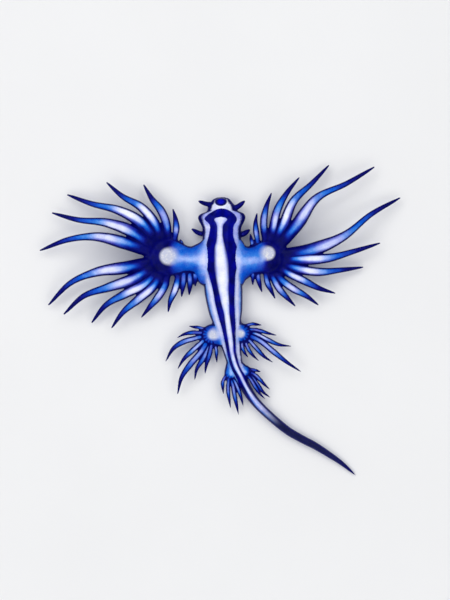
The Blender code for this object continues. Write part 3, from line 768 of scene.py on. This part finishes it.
def body_looks(f):
    """The body's lightness and hue, and how far inside the dark field and its stripe each point lies."""
    along = f.from_snout
    left, right, stripe_left, stripe_right, softness = table(MARKINGS, along, 2000)
    out = np.minimum(f.offset - left, right - f.offset)
    stripe = np.minimum(f.offset - stripe_left, stripe_right - f.offset)
    width = np.maximum(stripe_right - stripe_left, 0.02)
    # The margins: pale beside the dark field, and azure towards the body's edge.
    from_band = -out
    light = 0.88 - 0.16 * smooth(from_band, 0.25, 0.60)
    light -= (0.24 + 0.14 * smooth(along, 8.0, 12.0)) * smooth(from_band, 0.50, 1.0)
    light -= 0.12 * (1 - smooth(from_band, 0.05, 0.25))
    hue = 0.25 + 0.65 * smooth(from_band, 0.25, 0.8)
    # The head is pale lilac, most of all on the snout, and the left of the tail's root is azure.
    head = 1 - smooth(along, 3.6, 6.5)
    snout = 1 - smooth(along, 1.3, 1.9)
    head_light = 0.72 + 0.18 * snout + 0.10 * smooth(along, 3.0, 3.6) * smooth(-f.offset, -0.2, 0.2)
    light += (head_light - light) * head
    hue *= 1 - 0.85 * head
    rear = smooth(along, 17.0, 20.0)
    left_side = smooth(-f.offset, -0.1, 0.1)
    light -= (0.02 + 0.14 * left_side) * rear
    hue += (0.1 + 0.9 * left_side - hue) * rear
    # The stripe, palest along its middle.
    inside = smooth(stripe, -0.1, 0.3)
    peak = 0.96 - 0.08 * (1 - smooth(along, 4.5, 7.0))
    peak -= 0.06 * smooth(along, 12, 17) + 0.10 * smooth(along, 22, 26)
    stripe_light = peak - 0.14 + 0.14 * smooth(stripe / width, 0.0, 0.4)
    light = light + (stripe_light - light) * inside
    hue = hue * (1 - inside) + 0.05 * inside
    return light, hue, out, stripe / softness


def palm_rays(f, fan):
    """From 0 to 1 over a palm: 1 on the dark rays that run inwards from the clefts between its cerata."""
    centre = np.array(fan["centre"])

    def turn(offset):
        angle = np.degrees(np.arctan2(offset[..., 1], offset[..., 0])) - fan["bearing"]
        return (angle + 180) % 360 - 180

    roots = np.sort([turn(finger.line.points[0][:2] - centre) for finger in cerata(fan)])
    offset = f.points[:, :2] - centre
    phase = np.interp(turn(offset), roots, np.arange(len(roots)))
    between = 1 - np.abs(2 * (phase % 1) - 1)
    outward = np.hypot(*offset.T) / fan["radius"]
    return smooth(between, 0.30, 0.95) * smooth(outward, 0.35, 0.85)


def measured_rim(f):
    """How far inside the outline each point lies, seen from above, in millimetres."""
    own = f.half * (1 - np.abs(f.across))
    return np.where(f.on_finger > 0.5, np.maximum(own, f.base_rim), f.base_rim)


def base_looks(f):
    """Lightness and hue of the body and arms, how much of each point is body, and the body's marks."""
    light, hue, out, stripe = body_looks(f)
    weight = np.ones(len(light))
    for number, arm in enumerate(f.arms):
        share = np.exp(np.clip((f.body_ratio - arm["ratio"]) / 0.10, -30, 6))
        arm_light, arm_hue = arm_looks(arm, 1 - 2 * (number % 2))
        light += share * arm_light
        hue += share * arm_hue
        weight += share
    return light / weight, hue / weight, 1 / weight, out, stripe


def disc_and_navy(f, fan, on_body):
    """How far a fan's pale disc, and the dark ring around it, cover each point."""
    x, y, radius = fan["disc"]
    dx, dy = f.points[:, 0] - x, f.points[:, 1] - y
    distance = np.hypot(dx, dy)
    outward = heading(fan["bearing"])
    facing = (dx * outward[0] + dy * outward[1]) / np.maximum(distance, 0.01)
    disc = np.zeros(len(distance))
    if radius:
        blur = radius * (0.22 + 0.22 * (y < FRONT_END) + 0.40 * smooth(-facing, -0.3, 0.9))
        disc = 1 - smooth(distance, radius - blur, radius + blur)
    inner, outer, strength = fan["navy"]
    ring = smooth(distance, 0.5 * inner, inner) * (1 - smooth(distance, 0.92 * outer, 1.35 * outer))
    ring *= smooth(facing, -0.70, 0.10) * (1 - on_body)
    return disc, strength * ring


def skin_fields(f, normals):
    """Every field that the skin's material reads."""
    rng = np.random.default_rng(SEED)
    light, hue, on_body, out, stripe = base_looks(f)
    disc = np.zeros(len(light))
    navy = np.zeros(len(light))
    for fan in FANS:
        fan_disc, fan_navy = disc_and_navy(f, fan, on_body)
        disc = np.maximum(disc, fan_disc)
        navy = np.maximum(navy, fan_navy)
        if fan["centre"][1] < FRONT_END:
            light -= RAY_DEPTH * palm_rays(f, fan) * (1 - on_body)

    ceras_light, ceras_hue = cerata_looks(f, rng)
    light += (ceras_light - light) * f.on_finger
    hue += (ceras_hue - hue) * f.on_finger
    feeler = f.is_feeler * f.on_finger
    light += (FEELER_LIGHT - light) * feeler
    hue *= 1 - feeler
    light += (NAVY_LIGHT - light) * navy
    hue += (NAVY_HUE - hue) * navy

    edge_width = on_body * table(EDGE_WIDTHS, f.from_snout)[0] + (1 - on_body) * ARM_EDGE
    edge_width += (FINGER_EDGE + FINGER_EDGE_GROWTH * f.half - edge_width) * f.on_finger
    cleft = np.clip(f.next_ratio - f.own_ratio, 0, 1) * f.half

    x, y = SPINE_LINE.at(MOUTH_FROM_SNOUT) + MOUTH_PAINT_SHIFT
    scale_x, scale_y = MOUTH_PAINT_SCALE
    across = (f.points[:, 0] - x) / (scale_x * LIPS[0])
    along = (f.points[:, 1] - y) / (scale_y * LIPS[1])
    return {
        "light": light,
        "hue": hue,
        "band": np.where(on_body > 0.5, out, -1.0),
        "stripe": stripe,
        "edge": measured_rim(f) / edge_width,
        "cleft": np.where(f.on_finger > 0.5, cleft, FAR),
        "disc": disc,
        "mouth": np.hypot(across, along),
        "under": smooth(-normals[:, 2], -0.15, 0.45),
        "tail": smooth(f.from_snout, 25.0, 29.2) * on_body * (1 - f.on_finger),
    }


def shape_mouth(surface):
    """Opens the mouth as a groove between the lips."""
    x, y = SPINE_LINE.at(MOUTH_FROM_SNOUT)
    across, along, depth = MOUTH_GROOVE
    p = surface.points
    reach = np.hypot((p[:, 0] - x) / across, (p[:, 1] - y - GROOVE_AHEAD) / along)
    near = (1 - smooth(reach, 0.0, 1.4)) * (p[:, 2] > GROOVE_ABOVE)
    p[:, 2] -= depth * near


class Graph:
    """Builds a material's nodes from short calls. A value is a number, a colour or another node's output."""

    def __init__(self, name):
        self.material = bpy.data.materials.new(name)
        self.material.use_nodes = True
        self.tree = self.material.node_tree
        self.shader = self.tree.nodes["Principled BSDF"]

    def node(self, kind, inputs=(), **settings):
        """A node with its settings, and its inputs fed by name or number."""
        made = self.tree.nodes.new(kind)
        for name, value in settings.items():
            setattr(made, name, value)
        for key, value in dict(inputs).items():
            self.feed(made.inputs[key], value)
        return made

    def feed(self, socket, value):
        """Links another node's output to the socket, or sets the value on it."""
        if isinstance(value, bpy.types.NodeSocket):
            self.tree.links.new(value, socket)
        elif isinstance(value, tuple) and socket.type == "RGBA":
            socket.default_value = (*value, 1.0)
        else:
            socket.default_value = value

    def field(self, name):
        """A field that skin_fields wrote on the points."""
        return self.node("ShaderNodeAttribute", attribute_name=name).outputs["Fac"]

    def maths(self, operation, *values):
        """What an operation makes of the values."""
        return self.node("ShaderNodeMath", enumerate(values), operation=operation).outputs[0]

    def ease(self, value, start, end, low=0.0, high=1.0):
        """Low before start, high past end, and an even curve between them. Start may be the larger one."""
        inputs = {"Value": value, "From Min": start, "From Max": end, "To Min": low, "To Max": high}
        made = self.node("ShaderNodeMapRange", inputs, interpolation_type="SMOOTHSTEP", clamp=True)
        return made.outputs[0]

    def mix(self, share, a, b):
        """The colour a with a share of the colour b."""
        return self.node("ShaderNodeMix", {0: share, 6: a, 7: b}, data_type="RGBA").outputs[2]

    def ramp(self, value, colours):
        """The colour for a value, between colours that stand at RAMP_PLACES."""
        made = self.node("ShaderNodeValToRGB", {"Fac": value})
        elements = made.color_ramp.elements
        while len(elements) < len(colours):
            elements.new(0.5)
        for element, place, colour in zip(elements, RAMP_PLACES, colours):
            element.position = place
            element.color = (*srgb(*colour), 1.0)
        return made.outputs[0]

    def noise(self, size, detail=3.0, roughness=0.5, where=None):
        """Noise whose lumps are about size millimetres across."""
        inputs = {"Scale": 1 / (size * METRES), "Detail": detail, "Roughness": roughness}
        if where is not None:
            inputs["Vector"] = where
        return self.node("ShaderNodeTexNoise", inputs).outputs["Fac"]


def srgb(red, green, blue):
    """A colour given in 0 to 255 as a picture states it, for a shader."""
    parts = (value / 255 for value in (red, green, blue))
    return tuple(part / 12.92 if part <= 0.04045 else ((part + 0.055) / 1.055) ** 2.4 for part in parts)


# The ground colours from dark to light, and the lightness at which each is reached.
RAMP_PLACES = (0.0, 0.14, 0.28, 0.42, 0.56, 0.70, 0.84, 1.0)
AZURE = (
    (0, 0, 70), (2, 8, 112), (6, 46, 158), (4, 84, 198), (56, 126, 214), (136, 176, 240), (194, 208, 246),
    (232, 236, 248),
)
LILAC = (
    (0, 0, 70), (6, 2, 116), (28, 24, 146), (62, 62, 172), (106, 110, 198), (150, 156, 224), (206, 210, 243),
    (238, 240, 250),
)
INK = srgb(0, 0, 84)
DEEP = srgb(0, 0, 138)
DUSK = (srgb(0, 0, 46), srgb(2, 2, 66))
LIP = srgb(10, 12, 190)
SPECKLE = srgb(128, 134, 190)
UNDER_EDGE = srgb(40, 70, 170)
SILVER = srgb(172, 184, 204)
PEARL_COLOUR = srgb(192, 196, 214)
PEARL_LIGHT = srgb(220, 220, 222)
PEARL_SHADE = srgb(168, 174, 184)


# Soft wet flesh with a blue gloss.
FLESH = {
    "IOR": 1.4,
    "Specular IOR Level": 0.2,
    "Specular Tint": srgb(100, 125, 255),
    "Subsurface Weight": 0.12,
    "Subsurface Radius": (0.6, 0.8, 1.0),
    "Subsurface Scale": 0.25 * METRES,
    "Coat Weight": 0.04,
    "Coat Roughness": 0.12,
}


def skin_material():
    """The skin's colours, gloss and fine relief, from its fields."""
    g = Graph("skin")
    place = g.node("ShaderNodeTexCoord").outputs["Object"]
    mottle = g.noise(1.1, 4.0, 0.55, place)
    grain = g.noise(0.16, 3.0, 0.6, place)
    fine = g.noise(0.05, 2.0, 0.5, place)

    light = g.field("light")
    light = g.maths("ADD", light, g.ease(mottle, 0.25, 0.75, -0.055, 0.055))
    light = g.maths("ADD", light, g.ease(grain, 0.2, 0.8, -0.03, 0.03))
    hue = g.maths("ADD", g.field("hue"), g.ease(g.noise(0.8, 3.0, 0.5, place), 0.3, 0.7, -0.2, 0.2))
    colour = g.mix(hue, g.ramp(light, LILAC), g.ramp(light, AZURE))

    speckles = g.ease(g.noise(0.12, 3.0, 0.6, place), 0.60, 0.72, 0.0, 0.35)
    speckles = g.maths("MULTIPLY", speckles, g.ease(light, 0.60, 0.85))
    colour = g.mix(speckles, colour, SPECKLE)

    band = g.maths("ADD", g.field("band"), g.ease(grain, 0.2, 0.8, -0.03, 0.03))
    dark = g.maths("MULTIPLY", g.ease(band, -0.045, 0.045), g.ease(g.field("stripe"), 0.5, -0.5))
    colour = g.mix(dark, colour, g.mix(g.ease(mottle, 0.3, 0.7), DEEP, INK))

    pearl = g.mix(g.ease(g.noise(0.30, 4.0, 0.65, place), 0.48, 0.66), PEARL_COLOUR, PEARL_LIGHT)
    pearl = g.mix(g.ease(g.noise(0.14, 3.0, 0.6, place), 0.40, 0.26), pearl, PEARL_SHADE)
    colour = g.mix(g.field("disc"), colour, pearl)

    dusk = g.mix(g.ease(mottle, 0.3, 0.7), *DUSK)
    colour = g.mix(g.maths("MULTIPLY", g.field("tail"), 0.98), colour, dusk)

    edge = g.maths("ADD", g.field("edge"), g.ease(grain, 0.2, 0.8, -0.15, 0.15))
    rim = g.ease(edge, 1.6, 0.8)
    rim = g.maths("MAXIMUM", rim, g.ease(g.field("cleft"), 0.10, 0.02))
    colour = g.mix(rim, colour, INK)

    mouth = g.field("mouth")
    lips = g.mix(g.ease(mouth, 0.25, 0.75), LIP, INK)
    colour = g.mix(g.ease(mouth, 1.05, 0.93), colour, lips)

    silver = g.mix(g.ease(edge, 1.0, 3.5), UNDER_EDGE, SILVER)
    colour = g.mix(g.field("under"), colour, silver)
    g.feed(g.shader.inputs["Base Color"], colour)

    g.feed(g.shader.inputs["Roughness"], g.ease(grain, 0.3, 0.7, 0.28, 0.42))
    for name, value in FLESH.items():
        g.feed(g.shader.inputs[name], value)

    relief = g.maths("ADD", g.maths("MULTIPLY", grain, 0.7), g.maths("MULTIPLY", fine, 0.3))
    bump = g.node("ShaderNodeBump", {"Height": relief, "Strength": 0.35, "Distance": 0.03 * METRES})
    g.feed(g.shader.inputs["Normal"], bump.outputs[0])
    return g.material


def build_skin():
    """The skin: all forms joined, smoothed, webbed and coloured."""
    shell = Shell()
    add_body(shell)
    add_ball(shell, (*SPINE_LINE.at(MOUTH_FROM_SNOUT), MOUTH_HEIGHT), LIPS)
    fingers = [finger for fan in FANS for finger in cerata(fan)]
    feelers = [Finger(bowed_line(*shape), girth, FEELER_TAPER, 1.0) for *shape, girth in FEELERS]
    for finger in fingers + feelers:
        finger.add_to(shell)
    for fan in FANS:
        add_arm(shell, fan)
        add_palm(shell, fan)
    surface = Surface(*joined(shell))
    surface.relax(rounds=3)
    surface.fill_clefts(rounds=12, share=0.8)
    surface.web(rounds=40, evenings=30)
    surface.relax(rounds=1)
    shape_mouth(surface)
    surface.points[:, 2] = np.maximum(surface.points[:, 2], 0)
    fields = skin_fields(Fields(surface.points, fingers, feelers), surface.normals())

    mesh = bpy.data.meshes.new("skin")
    mesh.from_pydata(surface.points * METRES, [], surface.faces)
    for name, values in fields.items():
        layer = mesh.attributes.new(name, "FLOAT", "POINT")
        layer.data.foreach_set("value", values.astype(np.float32))
    mesh.shade_smooth()
    mesh.materials.append(skin_material())
    return placed("skin", mesh)


FLOOR_REACH = 1.5  # metres to each side


def build_floor():
    """The plain pale floor."""
    mesh = bpy.data.meshes.new("floor")
    corners = [(x * FLOOR_REACH, y * FLOOR_REACH, 0) for x, y in ((-1, -1), (1, -1), (1, 1), (-1, 1))]
    mesh.from_pydata(corners, [], [(0, 1, 2, 3)])
    g = Graph("pale_floor")
    tint = g.mix(g.noise(6.0, 4.0), srgb(226, 226, 226), srgb(231, 231, 231))
    g.feed(g.shader.inputs["Base Color"], tint)
    g.shader.inputs["Roughness"].default_value = 0.9
    g.shader.inputs["Specular IOR Level"].default_value = 0.2
    mesh.materials.append(g.material)
    placed("floor", mesh)


# Softboxes in a ring: bearing, and power in watts. The ring's sizes are in metres.
SOFTBOXES = (
    ("key", 125, 0.42),
    ("left", 180, 0.32),
    ("left_rear", 235, 0.26),
    ("rear", 290, 0.24),
    ("right", 350, 0.26),
    ("right_front", 55, 0.33),
)
SOFTBOX_REACH = 0.26
SOFTBOX_HEIGHT = 0.30
SOFTBOX_SIZE = 0.26
WORLD_COLOUR = (0.93, 0.95, 1.0)
WORLD_STRENGTH = 0.36


def softbox(name, bearing, power):
    """A round light of the ring, turned to the middle of the floor."""
    data = bpy.data.lights.new(name, "AREA")
    data.shape = "DISK"
    data.size = SOFTBOX_SIZE
    data.energy = power
    light = placed(name, data)
    x, y = SOFTBOX_REACH * heading(bearing)
    light.location = (x, y, SOFTBOX_HEIGHT)
    tilt = math.atan2(math.hypot(x, y), SOFTBOX_HEIGHT)
    light.rotation_euler = (tilt, 0, math.atan2(y, x) + math.pi / 2)


def light_scene():
    """The softboxes and an even pale world."""
    for name, bearing, power in SOFTBOXES:
        softbox(name, bearing, power)
    world = bpy.data.worlds.new("studio")
    bpy.context.scene.world = world
    world.use_nodes = True
    background = world.node_tree.nodes["Background"]
    background.inputs["Color"].default_value = (*WORLD_COLOUR, 1.0)
    background.inputs["Strength"].default_value = WORLD_STRENGTH
    bpy.context.scene.view_settings.view_transform = "Standard"


# The camera looks straight down at this place. Its long side takes in this length at this height.
VIEW_CENTRE = (0.59, 2.48)
VIEW_LENGTH = 70.8
VIEW_LEVEL = 1.0
VIEW_LENS = 135
SENSOR = 36
VIEW_LIMITS = (0.005, 10)  # metres


def build_camera():
    """The camera at the picture's angle."""
    data = bpy.data.cameras.new("camera")
    data.lens = VIEW_LENS
    data.sensor_width = SENSOR
    data.clip_start, data.clip_end = VIEW_LIMITS
    camera = placed("camera", data)
    height = VIEW_LENGTH * VIEW_LENS / SENSOR + VIEW_LEVEL
    camera.location = (VIEW_CENTRE[0] * METRES, VIEW_CENTRE[1] * METRES, height * METRES)
    bpy.context.scene.camera = camera


skin = build_skin()
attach(skin, "root")
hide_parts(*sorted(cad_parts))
build_floor()
light_scene()
build_camera()
